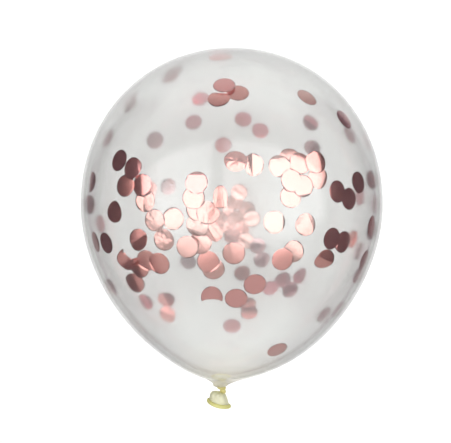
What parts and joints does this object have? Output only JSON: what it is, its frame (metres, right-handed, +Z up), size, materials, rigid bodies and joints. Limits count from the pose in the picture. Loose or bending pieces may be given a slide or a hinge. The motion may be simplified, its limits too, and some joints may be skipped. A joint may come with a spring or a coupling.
{
  "type": "confetti balloon",
  "caption": "Round clear latex party balloon with foil confetti sealed inside, knotted at the neck, lying on its side on a small flat spot.",
  "frame": {"origin": "on the small flat spot that the balloon rests on, straight under its widest ring", "axes": "+Y along the balloon's axis towards its crown, with the knot and tail towards -Y; +Z up, away from the surface it lies on"},
  "size_m": [0.305, 0.3661, 0.3025],
  "materials": {
    "clear_latex": "clear, glossy, faintly milky",
    "neck_latex": "unstretched natural latex, satin",
    "rose_gold_foil": "bright metallised film"
  },
  "bodies": {
    "root": {"latex_balloon": "clear_latex"}
  },
  "joints": []
}
